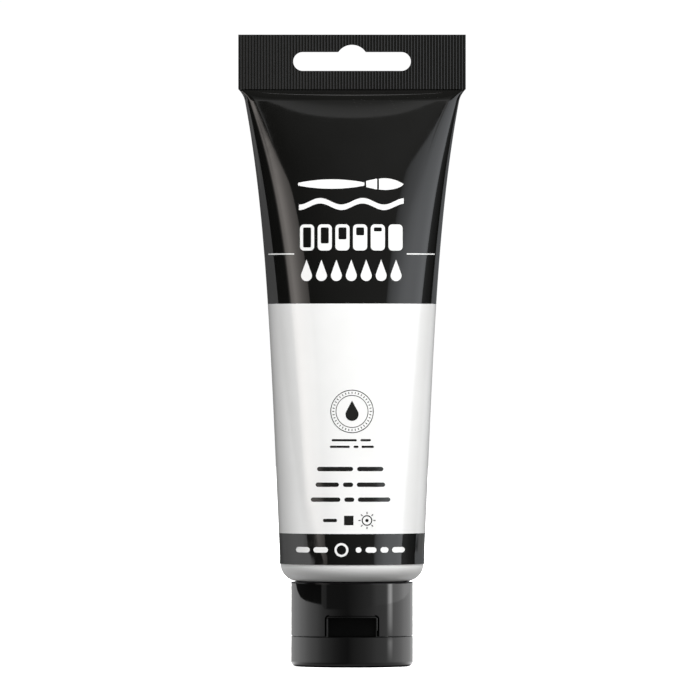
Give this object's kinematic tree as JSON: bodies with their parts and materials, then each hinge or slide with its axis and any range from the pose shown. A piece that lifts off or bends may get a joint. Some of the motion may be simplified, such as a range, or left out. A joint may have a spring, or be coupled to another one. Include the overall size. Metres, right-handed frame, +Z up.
{
  "type": "paint tube",
  "caption": "Flexible plastic paint tube with a crimped, slotted hanging end and a screw-on flip-top cap that it stands on.",
  "frame": {"origin": "centre of the lid's flat outer face, on which the tube stands on its cap", "axes": "+Z up the tube from the cap to the crimp; the front, with the thumb recess, faces -Y and the cap's hinge is at +Y; +X is along the crimp"},
  "size_m": [0.0628, 0.04, 0.1744],
  "materials": {
    "printed_sleeve": "glossy white polyethylene sleeve printed black above and in a band at the shoulder",
    "white_head": "smooth white moulded polyethylene",
    "black_cap": "glossy black moulded polypropylene",
    "seal_foil": "bright aluminium foil laminate",
    "seal_rubber": "soft pale elastomer",
    "white_paint": "thick white acrylic paint, wet gloss"
  },
  "bodies": {
    "tube": {"tube_sleeve": "printed_sleeve", "shoulder_head": "white_head", "neck_seal_foil": "seal_foil", "paint_fill": "white_paint"},
    "seal": {"cap_seal_ring": "seal_rubber"},
    "cap": {"cap_base": "black_cap", "cap_hinge": "black_cap"},
    "lid": {"flip_lid": "black_cap"}
  },
  "joints": [
    {"name": "cap_lift", "type": "slide", "parent": "tube", "child": "seal", "axis": [0, 0, -1], "range_m": [0, 0.00721]},
    {"name": "cap_turn", "type": "hinge", "parent": "seal", "child": "cap", "pos_m": [0, 0, 0.016], "axis": [0, 0, -1], "range_deg": [0, 864]},
    {"name": "lid_hinge", "type": "hinge", "parent": "cap", "child": "lid", "pos_m": [0, 0.0167, 0.00845], "axis": [1, 0, 0], "range_deg": [0, 170], "deforming": ["cap_hinge"]}
  ],
  "couplings": [
    {"joint": "cap_lift", "follows": "cap_turn", "m_per_rad": 0.00047746}
  ]
}
